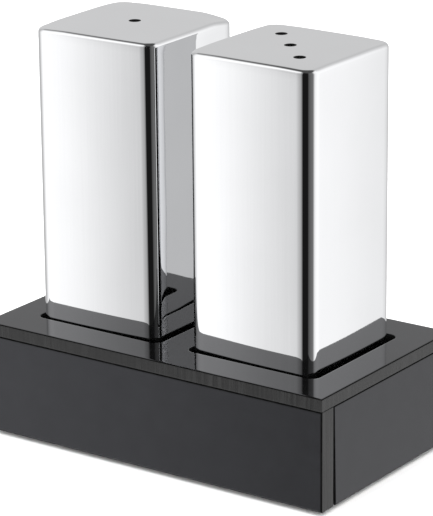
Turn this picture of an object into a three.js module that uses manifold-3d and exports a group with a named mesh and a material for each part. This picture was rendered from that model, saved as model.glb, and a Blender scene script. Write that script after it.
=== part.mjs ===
// Salt and pepper set: two square steel shakers that stand in the pockets of a black acrylic tray.
//
// Units are millimetres and +Z is up. The origin is the centre of the tray's footprint, on the
// surface that its feet stand on. +X runs along the tray from the salt shaker (one pouring hole)
// to the pepper shaker (three), and -Y is the front.
import * as THREE from "three";
import { mergeVertices } from "three/addons/utils/BufferGeometryUtils.js";
import Module from "manifold-3d";

const wasm = await Module();
wasm.setup();

// Driving dimensions of the tray.
const TRAY_LENGTH = 87.2;
const TRAY_DEPTH = 50;
const TRAY_HEIGHT = 24.6; // from the walls' lower edges to the top face
const TOP_SHEET = 2.9;
const WALL_SHEET = 4.4;
const FLOOR_SHEET = 2.9;
const CORNER_SEAM = 0.3; // open butt joint at each end of a side wall
const FOOT_HEIGHT = 1;
const FOOT_RADIUS = 4;
const FOOT_FLARE = 0.3; // a foot is this much wider where it is stuck to the tray
const FOOT_INSET = 10; // from the tray's outer faces to a foot's centre
const POCKET_PITCH = 39.7;
const POCKET_WIDTH = 32.4;
const POCKET_RADIUS = 2;

// Driving dimensions of the shakers.
const SHAKER_WIDTH = 31.2;
const SHAKER_HEIGHT = 86.5;
const SHELL_WALL = 0.8;
const CORNER_RADIUS = 2.9; // of the shell's upright edges
const TOP_ROUNDING = 1.1; // of the edges round the shell's top
const REST_X = -0.4; // a loose shaker stands this far from its pocket's centre along X
const REST_Y = -0.1; // and along Y
const POURING_RADIUS = 1.2;
const HOLE_STEP = 7.25; // along X and along Y from one hole of a diagonal row to the next

// Driving dimensions of the base insert and its stopper.
const LIP_HEIGHT = 0.8; // the insert's lip, on which the steel rim stands
const LIP_INSET = 0.3; // from the shell's outer faces to the lip's
const INSERT_CLEARANCE = 0.1;
const INSERT_WALL = 1.2;
const RECESS_DEPTH = 10;
const DECK_THICKNESS = 1.6;
const COLLAR_HEIGHT = 2.4;
const COLLAR_WALL = 1.4;
const FILLER_RADIUS = 8;
const FLANGE_RADIUS = 10.2;
const FLANGE_THICKNESS = 1.6;
const FLANGE_CHAMFER = 0.5;
const PLUG_WALL = 1.6;
const PLUG_LENGTH = 4.6;
const WEB_TOP = 0.6; // floor of the plug's hollow
const RIB_CLEARANCE = 0.06; // between a sealing rib and the filler hole
const RIB_HEIGHT = 0.45;
const RIB_PLACES = [1.2, 3];
const GRIP_WIDTH = 11;
const GRIP_HEIGHT = 2.8;
const GRIP_THICKNESS = 1.8;

const TRAY_TOP = FOOT_HEIGHT + TRAY_HEIGHT;
const SHAKER_BASE = FOOT_HEIGHT + FLOOR_SHEET; // the shakers stand on the tray's floor
const DECK_TOP = RECESS_DEPTH + DECK_THICKNESS;
const COLLAR_TOP = DECK_TOP + COLLAR_HEIGHT;
const PAST = 1; // how far a cutting tool runs past the face that it cuts
const ROUND_SIDES = 48;
const ARC_STEPS = 4; // three.js makes two segments of each

const steel = new THREE.MeshStandardMaterial({ color: 0xd8d9db, metalness: 1, roughness: 0.04 });
const acrylic = new THREE.MeshStandardMaterial({ color: 0x0b0b0c, metalness: 0, roughness: 0.05 });
const insertPlastic = new THREE.MeshStandardMaterial({ color: 0x18181a, metalness: 0, roughness: 0.5 });
const silicone = new THREE.MeshStandardMaterial({ color: 0xb9babc, metalness: 0, roughness: 0.6 });
const footRubber = new THREE.MeshStandardMaterial({ color: 0x202022, metalness: 0, roughness: 0.8 });

// A closed geometry as a manifold-3d solid, and a solid back as a geometry.
function solidOf(geometry) {
  const bare = geometry.clone();
  bare.deleteAttribute("normal");
  bare.deleteAttribute("uv");
  const merged = mergeVertices(bare, 1e-4);
  return new wasm.Manifold(
    new wasm.Mesh({
      numProp: 3,
      vertProperties: new Float32Array(merged.attributes.position.array),
      triVerts: new Uint32Array(merged.index.array),
    }),
  );
}

function geometryOf(solid) {
  const { vertProperties, triVerts } = solid.getMesh();
  const geometry = new THREE.BufferGeometry();
  geometry.setAttribute("position", new THREE.BufferAttribute(vertProperties, 3));
  geometry.setIndex(new THREE.BufferAttribute(triVerts, 1));
  geometry.computeVertexNormals();
  return geometry;
}

// Draws a square with rounded corners, centred on (x, 0), into a THREE.Shape or a THREE.Path.
function roundedSquare(path, width, radius, x = 0) {
  const flat = width / 2 - radius;
  path.moveTo(x + width / 2, -flat);
  path.absarc(x + flat, flat, radius, 0, Math.PI / 2);
  path.absarc(x - flat, flat, radius, Math.PI / 2, Math.PI);
  path.absarc(x - flat, -flat, radius, Math.PI, 1.5 * Math.PI);
  path.absarc(x + flat, -flat, radius, 1.5 * Math.PI, 2 * Math.PI);
  return path;
}

// An upright prism on a rounded square, from z = low to z = high.
function squarePrism(width, radius, low, high) {
  const outline = roundedSquare(new THREE.Shape(), width, radius);
  const options = { depth: high - low, bevelEnabled: false, curveSegments: ARC_STEPS };
  return new THREE.ExtrudeGeometry(outline, options).translate(0, 0, low);
}

// An upright cylinder from z = low to z = high.
function uprightCylinder(radius, low, high, x = 0, y = 0) {
  return new THREE.CylinderGeometry(radius, radius, high - low, ROUND_SIDES)
    .rotateX(Math.PI / 2)
    .translate(x, y, (low + high) / 2);
}

// The steel shell: a cup upside down, with its closed end up and its rim on the insert's lip.
function shellGeometry(holes) {
  const outline = roundedSquare(new THREE.Shape(), SHAKER_WIDTH, CORNER_RADIUS);
  const rounded = new THREE.ExtrudeGeometry(outline, {
    depth: SHAKER_HEIGHT - TOP_ROUNDING,
    bevelThickness: TOP_ROUNDING,
    bevelSize: TOP_ROUNDING,
    bevelOffset: -TOP_ROUNDING,
    bevelSegments: ARC_STEPS,
    curveSegments: ARC_STEPS,
  });
  const belowRim = squarePrism(SHAKER_WIDTH + PAST, CORNER_RADIUS, -TOP_ROUNDING - PAST, LIP_HEIGHT);
  const inside = squarePrism(
    SHAKER_WIDTH - 2 * SHELL_WALL,
    CORNER_RADIUS - SHELL_WALL,
    -PAST,
    SHAKER_HEIGHT - SHELL_WALL,
  );
  let shell = solidOf(rounded).subtract(solidOf(belowRim)).subtract(solidOf(inside));
  for (const [x, y] of holes) {
    const drill = uprightCylinder(POURING_RADIUS, SHAKER_HEIGHT - PAST, SHAKER_HEIGHT + PAST, x, y);
    shell = shell.subtract(solidOf(drill));
  }
  return geometryOf(shell);
}

// The base insert: a shallow square cup, upside down in the shell, with a lip under the steel
// rim and a filler hole with a collar in its deck.
function insertGeometry() {
  const width = SHAKER_WIDTH - 2 * (SHELL_WALL + INSERT_CLEARANCE);
  const radius = CORNER_RADIUS - SHELL_WALL - INSERT_CLEARANCE;
  const block = squarePrism(width, radius, 0, DECK_TOP);
  const lip = squarePrism(SHAKER_WIDTH - 2 * LIP_INSET, CORNER_RADIUS - LIP_INSET, 0, LIP_HEIGHT);
  const collarFoot = RECESS_DEPTH + DECK_THICKNESS / 2;
  const collar = uprightCylinder(FILLER_RADIUS + COLLAR_WALL, collarFoot, COLLAR_TOP);
  const recess = squarePrism(width - 2 * INSERT_WALL, radius - INSERT_WALL / 2, -PAST, RECESS_DEPTH);
  const filler = uprightCylinder(FILLER_RADIUS, RECESS_DEPTH - PAST, COLLAR_TOP + PAST);
  const solid = solidOf(block).add(solidOf(lip)).add(solidOf(collar));
  return geometryOf(solid.subtract(solidOf(recess)).subtract(solidOf(filler)));
}

// The stopper: a silicone plug with two sealing ribs, hollow from above, with a flange and a
// finger grip below. z = 0 is the flange's upper face, which meets the insert's deck.
function stopperGeometry() {
  const rib = FILLER_RADIUS - RIB_CLEARANCE;
  const core = rib - RIB_HEIGHT;
  const hollow = core - PLUG_WALL;
  const profile = [
    [0, -FLANGE_THICKNESS],
    [FLANGE_RADIUS - FLANGE_CHAMFER, -FLANGE_THICKNESS],
    [FLANGE_RADIUS, -FLANGE_THICKNESS + FLANGE_CHAMFER],
    [FLANGE_RADIUS, 0],
    [core, 0],
  ];
  for (const z of RIB_PLACES) {
    profile.push([core, z - RIB_HEIGHT], [rib, z], [core, z + RIB_HEIGHT]);
  }
  profile.push([core - RIB_HEIGHT, PLUG_LENGTH], [hollow, PLUG_LENGTH], [hollow, WEB_TOP], [0, WEB_TOP]);
  const outline = profile.map(([radius, z]) => new THREE.Vector2(radius, z));
  const turned = new THREE.LatheGeometry(outline, ROUND_SIDES).rotateX(Math.PI / 2);
  const tip = GRIP_HEIGHT / 2;
  const fin = new THREE.Shape()
    .moveTo(-GRIP_WIDTH / 2, WEB_TOP)
    .absarc(-GRIP_WIDTH / 2 + tip, -tip, tip, Math.PI, 1.5 * Math.PI)
    .absarc(GRIP_WIDTH / 2 - tip, -tip, tip, 1.5 * Math.PI, 2 * Math.PI)
    .lineTo(GRIP_WIDTH / 2, WEB_TOP);
  const options = { depth: GRIP_THICKNESS, bevelEnabled: false, curveSegments: ARC_STEPS };
  const grip = new THREE.ExtrudeGeometry(fin, options)
    .rotateX(Math.PI / 2)
    .translate(0, GRIP_THICKNESS / 2, -FLANGE_THICKNESS);
  return geometryOf(solidOf(turned).add(solidOf(grip)));
}

// The tray's top: one sheet with a square cut-out for each shaker.
function topSheetGeometry() {
  const sheet = new THREE.Shape([
    new THREE.Vector2(-TRAY_LENGTH / 2, -TRAY_DEPTH / 2),
    new THREE.Vector2(TRAY_LENGTH / 2, -TRAY_DEPTH / 2),
    new THREE.Vector2(TRAY_LENGTH / 2, TRAY_DEPTH / 2),
    new THREE.Vector2(-TRAY_LENGTH / 2, TRAY_DEPTH / 2),
  ]);
  for (const x of [-POCKET_PITCH / 2, POCKET_PITCH / 2]) {
    sheet.holes.push(roundedSquare(new THREE.Path(), POCKET_WIDTH, POCKET_RADIUS, x));
  }
  const options = { depth: TOP_SHEET, bevelEnabled: false, curveSegments: ARC_STEPS };
  return new THREE.ExtrudeGeometry(sheet, options);
}

// A mesh with its name and place. Every piece's geometry has its own foot at z = 0.
function piece(name, geometry, material, x, y, z) {
  const mesh = new THREE.Mesh(geometry, material);
  mesh.name = name;
  mesh.position.set(x, y, z);
  return mesh;
}

function sheetPiece(name, length, depth, height, x, y, z) {
  const geometry = new THREE.BoxGeometry(length, depth, height).translate(0, 0, height / 2);
  return piece(name, geometry, acrylic, x, y, z);
}

function tray() {
  const group = new THREE.Group();
  const wallHeight = TRAY_HEIGHT - TOP_SHEET;
  const wallY = (TRAY_DEPTH - WALL_SHEET) / 2;
  const wallX = (TRAY_LENGTH - WALL_SHEET) / 2;
  const insideLength = TRAY_LENGTH - 2 * WALL_SHEET;
  const insideDepth = TRAY_DEPTH - 2 * WALL_SHEET;
  const sideLength = insideDepth - 2 * CORNER_SEAM;
  group.add(
    piece("tray_top_plate", topSheetGeometry(), acrylic, 0, 0, TRAY_TOP - TOP_SHEET),
    sheetPiece("tray_front_plate", TRAY_LENGTH, WALL_SHEET, wallHeight, 0, -wallY, FOOT_HEIGHT),
    sheetPiece("tray_back_plate", TRAY_LENGTH, WALL_SHEET, wallHeight, 0, wallY, FOOT_HEIGHT),
    sheetPiece("tray_left_plate", WALL_SHEET, sideLength, wallHeight, -wallX, 0, FOOT_HEIGHT),
    sheetPiece("tray_right_plate", WALL_SHEET, sideLength, wallHeight, wallX, 0, FOOT_HEIGHT),
    sheetPiece("tray_floor_plate", insideLength, insideDepth, FLOOR_SHEET, 0, 0, FOOT_HEIGHT),
  );
  for (const [side, x] of [["left", -1], ["right", 1]]) {
    for (const [end, y] of [["front", -1], ["back", 1]]) {
      const narrow = FOOT_RADIUS - FOOT_FLARE;
      const foot = new THREE.CylinderGeometry(FOOT_RADIUS, narrow, FOOT_HEIGHT, ROUND_SIDES / 2)
        .rotateX(Math.PI / 2)
        .translate(0, 0, FOOT_HEIGHT / 2);
      const footX = x * (TRAY_LENGTH / 2 - FOOT_INSET);
      const footY = y * (TRAY_DEPTH / 2 - FOOT_INSET);
      group.add(piece(`tray_foot_${end}_${side}`, foot, footRubber, footX, footY, 0));
    }
  }
  return group;
}

function shaker(name, pocketX, holes) {
  const group = new THREE.Group();
  group.position.set(pocketX + REST_X, REST_Y, SHAKER_BASE);
  group.add(
    piece(`${name}_shell`, shellGeometry(holes), steel, 0, 0, 0),
    piece(`${name}_base_insert`, insertGeometry(), insertPlastic, 0, 0, 0),
    piece(`${name}_stopper`, stopperGeometry(), silicone, 0, 0, RECESS_DEPTH),
  );
  return group;
}

const oneHole = [[0, 0]];
const diagonalRow = [-1, 0, 1].map((step) => [step * HOLE_STEP, -step * HOLE_STEP]);

const set = new THREE.Group();
set.add(
  tray(),
  shaker("salt", -POCKET_PITCH / 2, oneHole),
  shaker("pepper", POCKET_PITCH / 2, diagonalRow),
);

export default set;
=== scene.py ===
"""Looks of a salt and pepper set: two square polished steel shakers in a black acrylic tray.

Meshes are drawn in millimetres in the frame's own axes (+Z up, -Y front) and stored in metres.
"""
import math

import bmesh
import bpy
from mathutils import Matrix, Vector, noise
from mathutils.geometry import delaunay_2d_cdt


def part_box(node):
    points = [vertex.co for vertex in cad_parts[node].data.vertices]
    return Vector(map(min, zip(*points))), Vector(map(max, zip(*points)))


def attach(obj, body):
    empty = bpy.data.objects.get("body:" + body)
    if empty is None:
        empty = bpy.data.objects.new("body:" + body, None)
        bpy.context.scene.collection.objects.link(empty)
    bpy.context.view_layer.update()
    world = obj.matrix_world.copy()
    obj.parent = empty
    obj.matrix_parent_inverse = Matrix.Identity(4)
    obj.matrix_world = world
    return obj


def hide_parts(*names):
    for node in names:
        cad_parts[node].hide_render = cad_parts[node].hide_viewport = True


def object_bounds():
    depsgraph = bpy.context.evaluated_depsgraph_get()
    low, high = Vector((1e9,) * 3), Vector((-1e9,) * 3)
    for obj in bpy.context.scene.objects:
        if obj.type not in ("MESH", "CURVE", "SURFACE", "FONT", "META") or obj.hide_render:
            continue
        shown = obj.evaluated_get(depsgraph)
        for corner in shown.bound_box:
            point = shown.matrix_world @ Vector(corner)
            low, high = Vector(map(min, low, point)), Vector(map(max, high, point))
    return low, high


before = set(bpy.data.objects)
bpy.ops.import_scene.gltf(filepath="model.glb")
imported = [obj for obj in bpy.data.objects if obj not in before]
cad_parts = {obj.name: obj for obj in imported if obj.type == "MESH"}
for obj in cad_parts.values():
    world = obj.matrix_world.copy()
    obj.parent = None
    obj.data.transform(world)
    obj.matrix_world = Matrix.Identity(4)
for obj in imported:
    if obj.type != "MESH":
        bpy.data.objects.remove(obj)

CAD_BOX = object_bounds()
MM = 0.001

# Shakers, in millimetres. Corners are listed back right, back left, front left, front right.
SHELL_WALL = 0.8
SALT_CORNERS = (3.5, 3.4, 2.9, 2.3)
PEPPER_CORNERS = (2.9, 3.3, 2.9, 2.5)
SALT_DROOPS = (0.5, 0.15, 0.15, 0.0)  # how far polishing has lowered the top at each corner
PEPPER_DROOPS = (0.1, 0.1, 0.1, 0.1)
DROOP_REACH = 6.0  # how far down the sides it is felt
DROOP_SPREAD = 9.0  # how far from the corner it is felt
DROOP_SWELL = 1.6  # a droop's depth at the corner itself, against its listed value
TURNS = {"salt": math.radians(0.6), "pepper": math.radians(-0.6)}  # of each loose shaker in its pocket
SKEWS = {"salt": 0.005, "pepper": -0.005}  # how far each one's front is out of square
TOP_ROUNDING = 1.1
RIM_ROUNDING = 0.3  # of the wall's thickness
SIDE_RINGS = 64
TOP_CELLS = 30
CROWN = 0.15  # the sides are slightly crowned, as drawn and polished steel is
TOP_DOME = 0.12
DENT = 0.03  # depth of the faint waves in the polished sides
DENT_LENGTH = 16.0
DENT_MARGIN = 3.0  # beside a corner, where the waves die out
RIPPLES = {"salt": 0.045, "pepper": 0.0}  # depth of the finer waves in the left and right sides
RIPPLE_LENGTH = 8.0
POURING_RADIUS = 1.2
HOLE_STEP = 7.25
HOLE_EDGE = 0.12
HOLE_COLLARS = (0.22, 0.04, 0.0)  # rings of points outside a hole that keep the top true up to it

# Tray, in millimetres.
PLATE_EDGE = 0.18  # broken edge round every face of a plate
CUT_MARKS = 0.03  # depth of the marks that the cutter left
POCKET_PITCH = 39.7
POCKET_WIDTH = 32.4
POCKET_RADIUS = 2.0
END_SEAM_SLANT = 0.55  # the right end plate's front edge leans back this much at the bottom

# Base insert and stopper, in millimetres. Heights are from the insert's foot or from the upper
# face of the stopper's flange.
LIP_HEIGHT = 0.8
INSERT_GAP = 1.15  # from the shell's outer faces to the insert's walls
INSERT_WALL = 0.95
INSERT_CORNER = 3.0
INSERT_EDGE = 0.25
LIP_CORNER = 2.6
RECESS_CORNER = 1.4
RECESS_ROUNDING = 0.5
RECESS_DEPTH = 10.0
DECK_TOP = 11.6
COLLAR_TOP = 14.0
COLLAR_RADIUS = 9.4
FILLER_RADIUS = 8.0
FLANGE_THICKNESS = 1.6
FLANGE_EDGE = 0.5
PLUG_LENGTH = 4.6
PLUG_RADIUS = 7.49
PLUG_HOLLOW = 5.89
RIB = 0.45
RIB_PLACES = (1.2, 3.0)
WEB_TOP = 0.6
GRIP_LENGTH = 11.0
GRIP_HEIGHT = 2.8
GRIP_THICKNESS = 1.8
GRIP_FILLET = 0.4
GRIP_ROUNDING = 0.55

# Camera: it looks at the object's middle from this side, at this height.
VIEW_AZIMUTH = math.radians(35.263)
VIEW_ELEVATION = math.radians(17.886)
VIEW_ROLL = math.radians(0.5355)
VIEW_DISTANCE = 0.6392
VIEW_AIM = Vector((0.9, -0.8, -3.8)) * MM  # from the box's centre
VIEW_LENS = 209.2

AMBIENT = 2.1  # strength of the plain white light from all round
LAMP_SIZE = 0.8  # in metres
LAMP_POWER = 2.5
LAMP_PLACE = (-0.5, -0.4, 1.0)
FLOOR_RADIUS = 3.0
FLOOR_SIDES = 64


def box_mm(node):
    """The node's lowest and highest corners, in millimetres."""
    low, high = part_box(node)
    return low / MM, high / MM


# ---------------------------------------------------------------- mesh building


class Skin:
    """Collects one piece's points, in millimetres, and its faces with their material numbers."""

    def __init__(self):
        self.points = []
        self.faces = []
        self.kinds = []

    def ring(self, points):
        start = len(self.points)
        self.points += [tuple(p) for p in points]
        return list(range(start, len(self.points)))

    def band(self, one, other, kind=0):
        """Quads between two rings with the same number of points."""
        count = len(one)
        for i in range(count):
            j = (i + 1) % count
            self.faces.append((one[i], one[j], other[j], other[i]))
            self.kinds.append(kind)

    def bands(self, rings, kind=0):
        """Quads through a list of rings of points. Returns the first and last rings' indices."""
        made = [self.ring(points) for points in rings]
        for one, other in zip(made, made[1:]):
            self.band(one, other, kind)
        return made[0], made[-1]

    def patch(self, outline, holes=(), inner=(), kind=0, flat=(0, 1)):
        """Triangles inside a ring, round the holes and through the inner points, if any.

        flat gives the two axes of the plane in which the triangles are laid out."""
        extra = self.ring(inner)
        loops = [outline, *holes]
        used = [i for loop in loops for i in loop] + extra
        place = {index: k for k, index in enumerate(used)}
        edges = [(place[a], place[b]) for loop in loops for a, b in zip(loop, loop[1:] + loop[:1])]
        laid_out = [Vector((self.points[i][flat[0]], self.points[i][flat[1]])) for i in used]
        made = delaunay_2d_cdt(laid_out, edges, [], 2, 1e-6)
        mouths = [set(hole) for hole in holes]
        for face in made[2]:
            corners = tuple(used[made[3][v][0]] for v in face)
            if not any(mouth.issuperset(corners) for mouth in mouths):
                self.faces.append(corners)
                self.kinds.append(kind)

    def turn(self, centre, angle, skew=0.0):
        """Turns all points about an upright axis through centre, after pushing them out of square."""
        c, s = math.cos(angle), math.sin(angle)
        turned = []
        for x, y, z in self.points:
            dx, dy = x - centre[0], y - centre[1]
            dy += skew * dx
            turned.append((centre[0] + c * dx - s * dy, centre[1] + s * dx + c * dy, z))
        self.points = turned

    def piece(self, name, materials, slot, crease=32):
        """Makes the object: smooth, except over edges sharper than crease degrees."""
        mesh = bpy.data.meshes.new(name)
        mesh.from_pydata([tuple(c * MM for c in p) for p in self.points], [], self.faces)
        mesh.polygons.foreach_set("material_index", self.kinds)
        bm = bmesh.new()
        bm.from_mesh(mesh)
        bmesh.ops.recalc_face_normals(bm, faces=bm.faces)
        bm.to_mesh(mesh)
        bm.free()
        return finish_mesh(name, mesh, materials, crease)


def finish_mesh(name, mesh, materials, crease):
    mesh.polygons.foreach_set("use_smooth", [True] * len(mesh.polygons))
    mesh.set_sharp_from_angle(angle=math.radians(crease))
    for material in materials:
        mesh.materials.append(material)
    made = bpy.data.objects.new(name, mesh)
    bpy.context.scene.collection.objects.link(made)
    return made


def circle(radius, z, centre=(0, 0), steps=48):
    angles = [2 * math.pi * i / steps for i in range(steps)]
    return [(centre[0] + radius * math.cos(a), centre[1] + radius * math.sin(a), z) for a in angles]


def square_ring(half, radii, z, centre=(0, 0), inset=0.0, crown=0.0, side_steps=26, corner_steps=12):
    """A square with four rounded corners and crowned sides, drawn inset by that much.

    half is the distance from the centre to the middle of a side, and crown is how far the middle
    stands out past the side's ends. The sides are arcs that touch the corners' arcs."""
    swing = 2 * math.atan(crown / (half - sum(radii) / 4)) if crown else 1e-4
    reaches = [half - crown - radius for radius in radii]
    points = []
    for quarter in range(4):
        turn = Matrix.Rotation(quarter * math.pi / 2, 2)
        radius, before = radii[quarter], radii[quarter - 1]
        reach, reach_before = reaches[quarter], reaches[quarter - 1]
        end = reach + radius * math.sin(swing)
        start = -reach_before - before * math.sin(swing)
        bulge = (end - start) / 2 / math.sin(swing)
        hub = reach + (radius - bulge) * math.cos(swing)
        for i in range(side_steps):
            a = swing * (2 * i / side_steps - 1)
            x = hub + (bulge - inset) * math.cos(a)
            points.append(turn @ Vector((x, (start + end) / 2 + (bulge - inset) * math.sin(a))))
        for i in range(corner_steps):
            a = swing + (math.pi / 2 - 2 * swing) * i / corner_steps
            out = radius - inset
            points.append(turn @ Vector((reach + out * math.cos(a), reach + out * math.sin(a))))
    return [(centre[0] + p.x, centre[1] + p.y, z) for p in points]


def quarter_turn(radius, steps):
    """(inset, rise) pairs along a rounded edge, from the upright side to the flat one."""
    angles = [math.pi / 2 * i / steps for i in range(1, steps + 1)]
    return [(radius * (1 - math.cos(a)), radius * math.sin(a)) for a in angles]


# ---------------------------------------------------------------- shakers


def dented(points, centre, half, seed, ripple=0.0):
    """Pushes points on the sides inwards by faint waves that die out at the corners.

    ripple is the depth of the finer waves in the left and right sides."""
    moved = []
    for x, y, z in points:
        dx, dy = x - centre[0], y - centre[1]
        side = 0 if abs(dx) > abs(dy) else 1
        along = dy if side == 0 else dx
        calm = max(0.0, 1 - (abs(along) / (half - DENT_MARGIN)) ** 4)
        place = Vector((x, y, z * 0.7)) / DENT_LENGTH + Vector((seed, seed, seed))
        depth = DENT * calm * (0.5 + 0.5 * noise.noise(place))
        if side == 0:
            fine = place * DENT_LENGTH / RIPPLE_LENGTH
            depth += ripple * calm * (0.5 + 0.5 * noise.noise(fine))
            dx -= math.copysign(depth, dx)
        else:
            dy -= math.copysign(depth, dy)
        moved.append((centre[0] + dx, centre[1] + dy, z))
    return moved


def make_shell(name, holes, radii, droops, seed):
    """The drawn steel shell: crowned sides, domed top with pouring holes, and the wall's inside."""
    low, high = box_mm(f"{name}_shell")
    half = (high.x - low.x) / 2
    centre = ((low.x + high.x) / 2, (low.y + high.y) / 2)
    top = high.z
    edge = top - TOP_DOME

    def outer(inset, z):
        return square_ring(half, radii, z, centre, inset, CROWN)

    def inner(inset, z):
        return outer(SHELL_WALL + inset, z)

    def dome(x, y):
        reach = half - TOP_ROUNDING
        u, v = (x - centre[0]) / reach, (y - centre[1]) / reach
        return edge + TOP_DOME * max(0.0, 1 - u * u) * max(0.0, 1 - v * v)

    def worn(point):
        """Lowers a point near the top's corners."""
        x, y, z = point
        lift = min(1.0, max(0.0, 1 - (top - z) / DROOP_REACH))
        for droop, (side_x, side_y) in zip(droops, ((1, 1), (-1, 1), (-1, -1), (1, -1))):
            away = math.hypot(x - centre[0] - side_x * half, y - centre[1] - side_y * half)
            near = max(0.0, 1 - away / DROOP_SPREAD)
            z -= droop * lift * near * near * (3 - 2 * near) * DROOP_SWELL
        return x, y, z

    skin = Skin()
    rim = SHELL_WALL * RIM_ROUNDING
    dents = (centre, half, seed, RIPPLES[name])
    rings = [outer(rim, low.z), outer(rim * 0.3, low.z + rim * 0.3), outer(0, low.z + rim)]
    start, stop = low.z + 1, edge - TOP_ROUNDING
    for i in range(SIDE_RINGS + 1):
        rings.append(dented(outer(0, start + (stop - start) * i / SIDE_RINGS), *dents))
    for inset, rise in quarter_turn(TOP_ROUNDING, 10):
        ring = outer(inset, stop + rise)
        fade = 1 - inset / TOP_ROUNDING
        rings.append([
            tuple(fade * a + (1 - fade) * b for a, b in zip(p, q))
            for p, q in zip(dented(ring, *dents), ring)
        ])
    bottom_outer, top_outer = skin.bands([[worn(p) for p in ring] for ring in rings])

    under = top - SHELL_WALL
    soft = min(radii) - SHELL_WALL - 0.4
    inside = [inner(-rim, low.z), inner(-rim * 0.3, low.z + rim * 0.3)]
    inside += [inner(0, low.z + rim), inner(0, low.z + 12), inner(0, under - soft)]
    inside += [inner(inset, under - soft + rise) for inset, rise in quarter_turn(soft, 4)]
    bottom_inner, top_inner = skin.bands([[worn(p) for p in ring] for ring in inside], kind=1)
    skin.band(bottom_outer, bottom_inner)

    mouths, throats = [], []
    for x, y in holes:
        place = (centre[0] + x, centre[1] + y)
        level = worn((*place, dome(*place)))[2] - HOLE_EDGE
        collar = []
        for margin in HOLE_COLLARS:
            ring = circle(POURING_RADIUS + HOLE_EDGE + margin, 0, place)
            collar.append([worn((px, py, dome(px, py))) for px, py, _ in ring])
        mouth, brink = skin.bands(collar)
        rings = []
        # The hole's rounded brink and its bore take material 2, the near-black bore steel: painted shade in
        # the holes, which also hides the brink's highlight.
        for inset, rise in reversed(quarter_turn(HOLE_EDGE, 3)[:-1]):
            rings.append(circle(POURING_RADIUS + inset, level + rise, place))
        rings.append(circle(POURING_RADIUS, level, place))
        turned_in, bore = skin.bands(rings, kind=2)
        skin.band(brink, turned_in, kind=2)
        throat = skin.ring(circle(POURING_RADIUS, under, place))
        skin.band(bore, throat, kind=2)
        mouths.append(mouth)
        throats.append(throat)

    grid = []
    reach = half - TOP_ROUNDING - 0.6
    for i in range(TOP_CELLS + 1):
        for j in range(TOP_CELLS + 1):
            dx = reach * (2 * i / TOP_CELLS - 1)
            dy = reach * (2 * j / TOP_CELLS - 1)
            clear = all(math.hypot(dx - hx, dy - hy) > POURING_RADIUS + 0.5 for hx, hy in holes)
            corner = max(0, abs(dx) - reach + 1.8) + max(0, abs(dy) - reach + 1.8)
            if clear and corner < 2.1:
                x, y = centre[0] + dx, centre[1] + dy
                grid.append(worn((x, y, dome(x, y))))
    skin.patch(top_outer, mouths, grid)
    skin.patch(top_inner, throats, kind=1)
    skin.turn(centre, TURNS[name], SKEWS[name])
    # The third material is the near-black bore steel: painted shade in the pouring holes.
    steels = [STEEL, STEEL_INSIDE, STEEL_BORE_PAINTED_SHADE]
    piece = skin.piece(f"{name}_steel_shell", steels, "polished_steel", crease=50)
    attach(piece, f"{name}_shaker")
    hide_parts(f"{name}_shell")


def make_insert(name):
    """The shallow square cup that closes the shell: lip, walls, deck, collar and filler hole."""
    node = f"{name}_base_insert"
    low, high = box_mm(node)
    lip = (high.x - low.x) / 2
    centre = ((low.x + high.x) / 2, (low.y + high.y) / 2)
    shell_low, shell_high = box_mm(f"{name}_shell")
    wall = (shell_high.x - shell_low.x) / 2 - INSERT_GAP
    recess = wall - INSERT_WALL
    edge = INSERT_EDGE

    def square(half, radius, z, inset=0.0):
        return square_ring(half, [radius] * 4, low.z + z, centre, inset)

    skin = Skin()
    rings = [square(recess, RECESS_CORNER, edge)]
    rings += [square(recess, RECESS_CORNER, edge * 0.3, -edge * 0.3)]
    rings += [square(recess, RECESS_CORNER, 0, -edge)]
    rings += [square(lip, LIP_CORNER, 0, edge), square(lip, LIP_CORNER, edge * 0.3, edge * 0.3)]
    rings += [square(lip, LIP_CORNER, edge), square(lip, LIP_CORNER, LIP_HEIGHT - 0.1)]
    rings += [square(lip, LIP_CORNER, LIP_HEIGHT, 0.1), square(wall, INSERT_CORNER, LIP_HEIGHT)]
    rings += [square(wall, INSERT_CORNER, DECK_TOP - edge * 2)]
    rings += [
        square(wall, INSERT_CORNER, DECK_TOP - edge * 2 + rise, inset)
        for inset, rise in quarter_turn(edge * 2, 4)
    ]
    mouth, deck = skin.bands(rings)
    ceiling = [
        square(recess, RECESS_CORNER, RECESS_DEPTH - RECESS_ROUNDING + rise, inset)
        for inset, rise in quarter_turn(RECESS_ROUNDING, 4)
    ]
    made = [skin.ring(ring) for ring in ceiling]
    skin.band(mouth, made[0])
    for one, other in zip(made, made[1:]):
        skin.band(one, other)

    def turned(radius, z):
        return circle(radius, low.z + z, centre, steps=96)

    collar = [(COLLAR_RADIUS + 0.3, DECK_TOP), (COLLAR_RADIUS + 0.09, DECK_TOP + 0.09)]
    collar += [(COLLAR_RADIUS, DECK_TOP + 0.3), (COLLAR_RADIUS, COLLAR_TOP - edge)]
    collar += [
        (COLLAR_RADIUS - inset, COLLAR_TOP - edge + rise) for inset, rise in quarter_turn(edge, 3)
    ]
    collar += [
        (FILLER_RADIUS + inset, COLLAR_TOP - edge + rise)
        for inset, rise in reversed(quarter_turn(edge, 3))
    ]
    collar += [(FILLER_RADIUS, COLLAR_TOP - edge), (FILLER_RADIUS, RECESS_DEPTH + edge)]
    collar += [(FILLER_RADIUS + edge * 0.3, RECESS_DEPTH + edge * 0.3)]
    collar += [(FILLER_RADIUS + edge, RECESS_DEPTH)]
    foot, under = skin.bands([turned(radius, z) for radius, z in collar])
    skin.patch(deck, [foot])
    skin.patch(made[-1], [under])
    skin.turn(centre, TURNS[name])
    piece = skin.piece(f"{name}_insert_cup", [INSERT_PLASTIC], "insert_plastic", crease=40)
    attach(piece, f"{name}_shaker")
    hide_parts(node)


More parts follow.
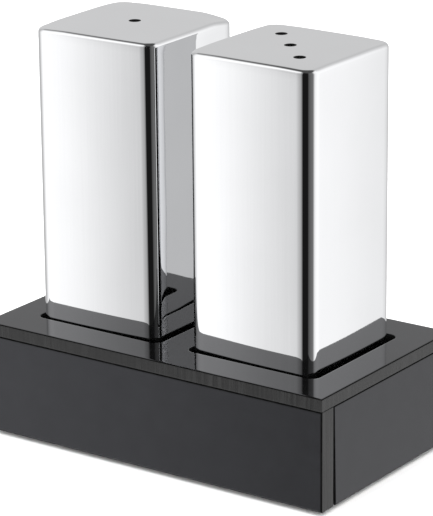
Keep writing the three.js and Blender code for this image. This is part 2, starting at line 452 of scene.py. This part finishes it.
def slot_ring(length, thickness, z, centre, steps=12):
    """A rounded oblong across X, as long and as thick as that in all."""
    radius = min(thickness / 2, length / 2) * 0.98
    flat_x, flat_y = length / 2 - radius, thickness / 2 - radius
    points = []
    for quarter, (side_x, side_y) in enumerate(((1, 1), (-1, 1), (-1, -1), (1, -1))):
        for i in range(steps):
            a = math.pi / 2 * (quarter + i / (steps - 1))
            x = side_x * flat_x + radius * math.cos(a)
            points.append((centre[0] + x, centre[1] + side_y * flat_y + radius * math.sin(a), z))
    return points


def make_stopper(name):
    """The silicone plug: flange, ribs, hollow and a finger grip under it."""
    node = f"{name}_stopper"
    low, high = box_mm(node)
    centre = ((low.x + high.x) / 2, (low.y + high.y) / 2)
    flange_radius = (high.x - low.x) / 2
    flange = high.z - PLUG_LENGTH
    foot = -FLANGE_THICKNESS

    profile = [(flange_radius - FLANGE_EDGE - 0.3, foot), (flange_radius - FLANGE_EDGE, foot + 0.02)]
    profile += [
        (flange_radius - inset, foot + FLANGE_EDGE - rise)
        for inset, rise in reversed(quarter_turn(FLANGE_EDGE, 5)[:-1])
    ]
    profile += [(flange_radius, foot + FLANGE_EDGE), (flange_radius, -0.15), (flange_radius - 0.15, 0)]
    profile += [(PLUG_RADIUS + 0.12, 0), (PLUG_RADIUS, 0.12)]
    for place in RIB_PLACES:
        for i in range(-4, 5):
            a = math.pi / 2 * i / 4
            profile.append((PLUG_RADIUS + RIB * math.cos(a) ** 1.5, place + RIB * math.sin(a)))
    profile += [(PLUG_RADIUS, PLUG_LENGTH - 0.6), (PLUG_RADIUS - RIB * 0.5, PLUG_LENGTH - 0.12)]
    profile += [(PLUG_RADIUS - RIB, PLUG_LENGTH), (PLUG_HOLLOW + 0.15, PLUG_LENGTH)]
    profile += [(PLUG_HOLLOW, PLUG_LENGTH - 0.15), (PLUG_HOLLOW, WEB_TOP + 0.4)]
    profile += [(PLUG_HOLLOW - 0.12, WEB_TOP + 0.12), (PLUG_HOLLOW - 0.4, WEB_TOP)]

    skin = Skin()
    underside, hollow = skin.bands([circle(r, flange + z, centre, steps=96) for r, z in profile])
    skin.patch(hollow)

    tip = GRIP_HEIGHT / 2
    sizes = [
        (GRIP_FILLET * (1 - math.sin(a)), GRIP_FILLET * (1 - math.cos(a)))
        for a in (math.pi / 2 * i / 4 for i in range(5))
    ]
    rings = [
        slot_ring(GRIP_LENGTH + 2 * out, GRIP_THICKNESS + 2 * out, flange + foot - down, centre)
        for out, down in sizes
    ]
    for i in range(1, 9):
        a = math.pi / 2 * i / 8 * 0.98
        z = foot - tip - tip * math.sin(a)
        left = max(0.0, z - (foot - GRIP_HEIGHT))
        thin = GRIP_ROUNDING - math.sqrt(max(0.0, GRIP_ROUNDING ** 2 - max(0.0, GRIP_ROUNDING - left) ** 2))
        length = GRIP_LENGTH - 2 * tip * (1 - math.cos(a))
        rings.append(slot_ring(length, GRIP_THICKNESS - 2 * thin, flange + z, centre))
    root, end = skin.bands(rings)
    skin.patch(underside, [root])
    skin.patch(end)
    skin.turn(centre, TURNS[name])
    piece = skin.piece(f"{name}_silicone_plug", [SILICONE], "stopper_silicone", crease=50)
    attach(piece, f"{name}_stopper")
    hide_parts(node)


# ---------------------------------------------------------------- tray


def rectangle_ring(low, high, inset, step=0.4, marks=0.0, seed=0.0):
    """Points round a rectangle, inset by that much, with the cutter's marks pressed into it."""
    (a0, b0), (a1, b1) = low, high
    a0, b0, a1, b1 = a0 + inset, b0 + inset, a1 - inset, b1 - inset
    full_a, full_b = high[0] - low[0], high[1] - low[1]
    counts = [max(2, round(full_a / step)), max(2, round(full_b / step))]
    corners = [(a0, b0), (a1, b0), (a1, b1), (a0, b1)]
    inwards = [(0, 1), (-1, 0), (0, -1), (1, 0)]
    points = []
    for side in range(4):
        start, stop = corners[side], corners[(side + 1) % 4]
        count = counts[side % 2]
        for i in range(count):
            t = i / count
            place = side * 100 + t * (full_a if side % 2 == 0 else full_b)
            rough = noise.noise(Vector((place * 0.9, seed, 3.1)))
            rough += 0.5 * noise.noise(Vector((place * 2.3, seed, 7.7)))
            swell = 0.5 + 0.5 * noise.noise(Vector((place * 0.06, seed, 11.3)))
            depth = marks * max(0.0, rough) * swell * min(1, i, count - i)
            a = start[0] + (stop[0] - start[0]) * t + inwards[side][0] * depth
            b = start[1] + (stop[1] - start[1]) * t + inwards[side][1] * depth
            points.append((a, b))
    return points


def plate_profile(thickness):
    """(inset, height) pairs across a plate's edge, with a support ring beside each broken edge."""
    support = 0.3
    edge = PLATE_EDGE
    lower = [(edge + support, 0), (edge, 0), (edge * 0.3, edge * 0.3), (0, edge), (0, edge + support)]
    return lower + [(inset, thickness - height) for inset, height in reversed(lower)]


def edge_bands(skin, rings):
    """Quads across a plate's edge: faces at both ends, then broken edges, and the cut between."""
    made = [skin.ring(points) for points in rings]
    last = len(made) - 2
    for i, (one, other) in enumerate(zip(made, made[1:])):
        step = min(i, last - i)
        skin.band(one, other, kind=0 if step == 0 else 2 if step < 3 else 1)
    return made[0], made[-1]


def make_plate(node, normal, pockets=(), slant=0.0, seed=0.0):
    """A flat acrylic plate whose sheet faces along the axis numbered normal."""
    low, high = box_mm(node)
    a, b = [axis for axis in range(3) if axis != normal]
    thickness = high[normal] - low[normal]

    def lifted(flat_points, height):
        points = []
        for pa, pb in flat_points:
            p = [0.0, 0.0, 0.0]
            p[a], p[b], p[normal] = pa, pb, low[normal] + height
            back = (high.y - p[1]) / (high.y - low.y)
            down = (high.z - p[2]) / (high.z - low.z)
            p[1] += slant * back * (down - 0.25)
            points.append(tuple(p))
        return points

    skin = Skin()
    profile = plate_profile(thickness)
    outline = ((low[a], low[b]), (high[a], high[b]))
    rings = [
        lifted(rectangle_ring(*outline, inset, marks=CUT_MARKS, seed=seed), height)
        for inset, height in profile
    ]
    bottom, top = edge_bands(skin, rings)
    bottoms, tops = [], []
    for x in pockets:
        rings = [
            square_ring(POCKET_WIDTH / 2, [POCKET_RADIUS] * 4, low.z + height, (x, 0), -inset)
            for inset, height in profile
        ]
        pocket_bottom, pocket_top = edge_bands(skin, rings)
        bottoms.append(pocket_bottom)
        tops.append(pocket_top)
    skin.patch(bottom, bottoms, flat=(a, b))
    skin.patch(top, tops, flat=(a, b))
    acrylics = [ACRYLIC, ACRYLIC_CUT, ACRYLIC_SCRAPED]
    piece = skin.piece(node.replace("_plate", "_sheet"), acrylics, "black_acrylic")
    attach(piece, "tray")
    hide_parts(node)


def make_foot(node):
    """A stick-on rubber foot with eased edges."""
    low, high = box_mm(node)
    centre = ((low.x + high.x) / 2, (low.y + high.y) / 2)
    radius = (high.x - low.x) / 2
    skin = Skin()
    profile = [(radius - 1.0, high.z - 0.02), (radius - 0.1, high.z - 0.02), (radius, high.z - 0.12)]
    profile += [(radius - 0.12, low.z + 0.5), (radius - 0.3, low.z + 0.2), (radius - 0.6, low.z + 0.05)]
    profile += [(radius - 1.0, low.z)]
    first, last = skin.bands([circle(r, z, centre) for r, z in profile])
    skin.patch(first)
    skin.patch(last)
    piece = skin.piece(node.replace("tray_foot", "rubber_foot"), [RUBBER], "foot_rubber")
    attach(piece, "tray")
    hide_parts(node)


# ---------------------------------------------------------------- materials


class Graph:
    """A short way to add nodes to a material's or world's node tree."""

    def __init__(self, tree):
        self.tree = tree
        tree.nodes.clear()

    def add(self, kind, inputs=None, **settings):
        node = self.tree.nodes.new(kind)
        for key, value in settings.items():
            setattr(node, key, value)
        for key, value in (inputs or {}).items():
            if isinstance(value, bpy.types.NodeSocket):
                self.tree.links.new(value, node.inputs[key])
            else:
                node.inputs[key].default_value = value
        return node

    def math(self, operation, *values):
        return self.add("ShaderNodeMath", dict(enumerate(values)), operation=operation).outputs[0]

    def place(self, scale=(1, 1, 1)):
        coordinates = self.add("ShaderNodeTexCoord").outputs["Object"]
        return self.add("ShaderNodeMapping", {"Vector": coordinates, "Scale": scale}).outputs[0]

    def noise(self, scale, detail=2.0, stretch=(1, 1, 1)):
        inputs = {"Vector": self.place(stretch), "Scale": scale, "Detail": detail}
        return self.add("ShaderNodeTexNoise", inputs).outputs["Fac"]

    def spread(self, value, low, high, from_low=0.3, from_high=0.7):
        """value, from from_low to from_high, spread over low to high."""
        inputs = {"Value": value, "From Min": from_low, "From Max": from_high, "To Min": low, "To Max": high}
        return self.add("ShaderNodeMapRange", inputs).outputs[0]

    def mix(self, share, one, other):
        """A blend of two colours. The numbers are the colour sockets of Blender's Mix node."""
        node = self.add("ShaderNodeMix", {0: share, 6: one, 7: other}, data_type="RGBA")
        return node.outputs[2]

    def bump(self, height, strength, distance):
        inputs = {"Height": height, "Strength": strength, "Distance": distance}
        return self.add("ShaderNodeBump", inputs).outputs[0]

    def surface(self, **inputs):
        named = {key.replace("_", " "): value for key, value in inputs.items()}
        shader = self.add("ShaderNodeBsdfPrincipled", named)
        self.add("ShaderNodeOutputMaterial", {"Surface": shader.outputs[0]})
        return shader


def grey(level, tint=(1, 1, 1)):
    return (level * tint[0], level * tint[1], level * tint[2], 1)


def new_material(name):
    material = bpy.data.materials.new(name)
    material.use_nodes = True
    return material, Graph(material.node_tree)


def steel_material():
    """Mirror-polished stainless steel with polishing hairlines and faint smudges."""
    material, graph = new_material("polished_steel")
    cool = (0.985, 0.99, 1)
    cloud = graph.noise(60, 3)
    smudge = graph.spread(graph.noise(210, 5), 0, 1, 0.52, 0.72)
    hairline = graph.noise(900, 3, (1, 1, 0.02))
    colour = graph.mix(graph.spread(cloud, 0, 1), grey(0.845, cool), grey(0.865, cool))
    roughness = graph.math("ADD", graph.spread(hairline, 0.012, 0.03), graph.math("MULTIPLY", smudge, 0.025))
    graph.surface(
        Base_Color=colour,
        Metallic=1.0,
        Roughness=roughness,
        Normal=graph.bump(hairline, 0.02, 0.0001),
    )
    return material


def steel_inside_material():
    """The unpolished inside of the drawn shell."""
    material, graph = new_material("drawn_steel")
    draw_line = graph.noise(1400, 4, (1, 1, 0.03))
    colour = graph.mix(graph.spread(draw_line, 0, 1), grey(0.34), grey(0.5))
    graph.surface(
        Base_Color=colour,
        Metallic=1.0,
        Roughness=graph.spread(draw_line, 0.28, 0.42),
        Normal=graph.bump(draw_line, 0.15, 0.0001),
    )
    return material


def steel_bore_painted_shade_material():
    """The pierced and unpolished walls of the pouring holes, painted near black as painted shade inside the
    holes; the holes' rounded brinks get it too.
    """
    material, graph = new_material("pierced_steel_painted_shade")
    tear = graph.noise(2600, 3, (1, 1, 0.2))
    graph.surface(
        Base_Color=graph.mix(graph.spread(tear, 0, 1), grey(0.03), grey(0.07)),
        Metallic=1.0,
        Roughness=graph.spread(tear, 0.5, 0.7),
        Normal=graph.bump(tear, 0.2, 0.0001),
    )
    return material


def acrylic_material():
    """A polished face of black cast acrylic: glossy, with faint ripple and fine scratches."""
    material, graph = new_material("black_acrylic_face")
    ripple = graph.noise(45, 1)
    haze = graph.noise(260, 4)
    scratch = graph.noise(1500, 2, (1, 0.03, 1))
    colour = graph.mix(graph.spread(haze, 0, 1), grey(0.002), grey(0.004, (1, 1.02, 1.08)))
    roughness = graph.math("ADD", graph.spread(haze, 0.03, 0.06), graph.spread(scratch, 0, 0.05, 0.62, 0.75))
    graph.surface(
        Base_Color=colour,
        Roughness=roughness,
        IOR=1.47,
        Specular_Tint=grey(1, (0.96, 0.975, 1.07)),
        Normal=graph.bump(ripple, 0.007, 0.001),
    )
    return material


def acrylic_cut_material():
    """The sheet's cut edge: matt, greyer, with patches of the cutter's marks across the thickness."""
    material, graph = new_material("black_acrylic_cut")
    mark = graph.noise(1700, 3, (1, 1, 0.04))
    patch = graph.spread(graph.noise(40, 2), 0.05, 1, 0.46, 0.62)
    streak = graph.math("MULTIPLY", graph.spread(mark, 0, 1, 0.44, 0.66), patch)
    graph.surface(
        Base_Color=graph.mix(streak, grey(0.007), grey(0.017)),
        Roughness=graph.spread(streak, 0.24, 0.34, 0, 1),
        IOR=1.42,
        Normal=graph.bump(mark, 0.3, 0.0001),
    )
    return material


def acrylic_scraped_material():
    """The narrow broken edges, scraped by hand and left matt."""
    material, graph = new_material("black_acrylic_scraped")
    scrape = graph.noise(700, 4)
    graph.surface(
        Base_Color=graph.mix(graph.spread(scrape, 0, 1, 0.45, 0.75), grey(0.001), grey(0.006)),
        Roughness=graph.spread(scrape, 0.6, 0.9),
        IOR=1.2,
        Normal=graph.bump(scrape, 0.2, 0.0001),
    )
    return material


def insert_material():
    """Moulded polypropylene with a fine spark-eroded grain."""
    material, graph = new_material("insert_plastic")
    grain = graph.noise(1300, 3)
    flow = graph.noise(70, 3, (1, 1, 0.4))
    graph.surface(
        Base_Color=graph.mix(graph.spread(flow, 0, 1), grey(0.018), grey(0.03, (1, 1, 1.04))),
        Roughness=graph.math("ADD", graph.spread(grain, 0.38, 0.5), graph.spread(flow, -0.04, 0.04)),
        IOR=1.49,
        Normal=graph.bump(grain, 0.25, 0.0001),
    )
    return material


def silicone_material():
    """Frosted, milky silicone that lets a little light through."""
    material, graph = new_material("stopper_silicone")
    frost = graph.noise(900, 3)
    cloud = graph.noise(110, 2)
    dust = graph.spread(graph.noise(1900, 2), 0, 0.12, 0.66, 0.76)
    milk = graph.mix(graph.spread(cloud, 0, 1), grey(0.52, (1, 1, 0.985)), grey(0.6, (1, 1, 0.985)))
    graph.surface(
        Base_Color=graph.mix(dust, milk, grey(0.2)),
        Roughness=graph.spread(frost, 0.42, 0.58),
        IOR=1.41,
        Subsurface_Weight=0.35,
        Subsurface_Radius=(1, 0.95, 0.9),
        Subsurface_Scale=0.0012,
        Normal=graph.bump(frost, 0.12, 0.0001),
    )
    return material


def rubber_material():
    """Matt black rubber with a little dust."""
    material, graph = new_material("foot_rubber")
    grain = graph.noise(1800, 4)
    dust = graph.noise(160, 3)
    graph.surface(
        Base_Color=graph.mix(graph.spread(dust, 0, 1), grey(0.018), grey(0.04)),
        Roughness=graph.spread(grain, 0.6, 0.85),
        Normal=graph.bump(grain, 0.3, 0.0001),
    )
    return material


# ---------------------------------------------------------------- studio

# The plain studio that mirror surfaces see: one row of soft light round the object. Each stop is a
# compass direction in degrees (0 is +X, 90 is +Y) and a brightness: a large soft light on the left and
# one on the right, a pale wall behind, and the dark opening in front where the photographer stands.
STUDIO = [
    (-180, 0.5), (-150, 1.1), (-130, 1.3), (-120, 0.5), (-105, 0.2), (-100, 0.01), (-50, 0.01),
    (-40, 0.1), (0, 0.2), (20, 1.0), (50, 1.2), (65, 0.8), (90, 0.6), (150, 0.7), (180, 0.5),
]
CEILING_FROM, CEILING_TO = 40, 60  # heights in degrees between which the walls fade into it
CEILING = 0.08
STUDIO_TINT = (1, 1, 1.005)


def make_world():
    """Plain white for the camera and for soft light, and the studio's row of light for mirrors."""
    world = bpy.data.worlds.new("studio")
    bpy.context.scene.world = world
    world.use_nodes = True
    graph = Graph(world.node_tree)
    direction = graph.add("ShaderNodeTexCoord").outputs["Generated"]
    x, y, z = graph.add("ShaderNodeSeparateXYZ", {0: direction}).outputs
    turned = graph.math("MULTIPLY", graph.math("ARCTAN2", y, x), 180 / math.pi)
    compass = graph.spread(turned, 0, 1, -180, 180)
    height = graph.math("MULTIPLY", graph.math("ARCSINE", z), 180 / math.pi)

    row_of_light = graph.add("ShaderNodeValToRGB", {0: compass})
    stops = row_of_light.color_ramp.elements
    for azimuth, level in STUDIO[1:-1]:
        stops.new((azimuth + 180) / 360)
    for stop, (azimuth, level) in zip(stops, STUDIO):
        stop.position = (azimuth + 180) / 360
        stop.color = grey(level, STUDIO_TINT)

    overhead = graph.add(
        "ShaderNodeMapRange",
        {"Value": height, "From Min": CEILING_FROM, "From Max": CEILING_TO},
        interpolation_type="SMOOTHSTEP",
    ).outputs[0]
    walls = graph.mix(overhead, row_of_light.outputs[0], grey(CEILING))

    kind = graph.add("ShaderNodeLightPath")
    seen = graph.add("ShaderNodeBackground", {"Color": walls, "Strength": 1.0}).outputs[0]
    plain = graph.add("ShaderNodeBackground", {"Color": grey(1), "Strength": AMBIENT}).outputs[0]
    mixed = graph.add("ShaderNodeMixShader", {0: kind.outputs["Is Glossy Ray"], 1: plain, 2: seen})
    graph.add("ShaderNodeOutputWorld", {"Surface": mixed.outputs[0]})


def make_floor():
    """The pale floor, which mirrors don't see."""
    material, graph = new_material("pale_floor")
    graph.surface(Base_Color=graph.mix(graph.noise(8, 2), grey(0.9), grey(0.92)), Roughness=0.9)
    mesh = bpy.data.meshes.new("floor")
    mesh.from_pydata(circle(FLOOR_RADIUS, CAD_BOX[0].z, steps=FLOOR_SIDES), [], [tuple(range(FLOOR_SIDES))])
    mesh.materials.append(material)
    floor = bpy.data.objects.new("floor", mesh)
    bpy.context.scene.collection.objects.link(floor)
    floor.visible_glossy = False


def make_light():
    """One large soft lamp over the left front, aimed at the object."""
    light = bpy.data.lights.new("soft_box", "AREA")
    light.size = LAMP_SIZE
    light.energy = LAMP_POWER
    lamp = bpy.data.objects.new("soft_box", light)
    lamp.location = LAMP_PLACE
    lamp.rotation_euler = Vector(lamp.location).to_track_quat("Z", "Y").to_euler()
    lamp.visible_glossy = False
    bpy.context.scene.collection.objects.link(lamp)


def make_camera():
    """The camera, at the photograph's viewing angle."""
    camera = bpy.data.objects.new("camera", bpy.data.cameras.new("camera"))
    bpy.context.scene.collection.objects.link(camera)
    camera.data.lens = VIEW_LENS
    camera.data.clip_start = 0.01
    camera.data.clip_end = 20
    turn = Matrix.Rotation(VIEW_AZIMUTH, 3, "Z")
    turn = turn @ Matrix.Rotation(math.pi / 2 - VIEW_ELEVATION, 3, "X")
    turn = turn @ Matrix.Rotation(-VIEW_ROLL, 3, "Z")
    aim = (CAD_BOX[0] + CAD_BOX[1]) / 2 + VIEW_AIM
    camera.matrix_world = Matrix.Translation(aim + turn @ Vector((0, 0, VIEW_DISTANCE))) @ turn.to_4x4()
    bpy.context.scene.camera = camera


make_camera()
bpy.context.scene.view_settings.view_transform = "Standard"
STEEL = steel_material()
STEEL_INSIDE = steel_inside_material()
STEEL_BORE_PAINTED_SHADE = steel_bore_painted_shade_material()
ACRYLIC = acrylic_material()
ACRYLIC_CUT = acrylic_cut_material()
ACRYLIC_SCRAPED = acrylic_scraped_material()
RUBBER = rubber_material()
INSERT_PLASTIC = insert_material()
SILICONE = silicone_material()

hole_row = [(s * HOLE_STEP, -s * HOLE_STEP) for s in (-1, 0, 1)]
make_shell("salt", [(0, 0)], SALT_CORNERS, SALT_DROOPS, seed=2.3)
make_shell("pepper", hole_row, PEPPER_CORNERS, PEPPER_DROOPS, seed=6.1)
for shaker in ("salt", "pepper"):
    make_insert(shaker)
    make_stopper(shaker)
make_plate("tray_top_plate", 2, [-POCKET_PITCH / 2, POCKET_PITCH / 2], seed=1.7)
make_plate("tray_floor_plate", 2, seed=2.9)
make_plate("tray_front_plate", 1, seed=4.3)
make_plate("tray_back_plate", 1, seed=5.9)
make_plate("tray_left_plate", 0, seed=8.1)
make_plate("tray_right_plate", 0, slant=END_SEAM_SLANT, seed=9.7)
for end in ("front", "back"):
    for side in ("left", "right"):
        make_foot(f"tray_foot_{end}_{side}")

make_world()
make_floor()
make_light()
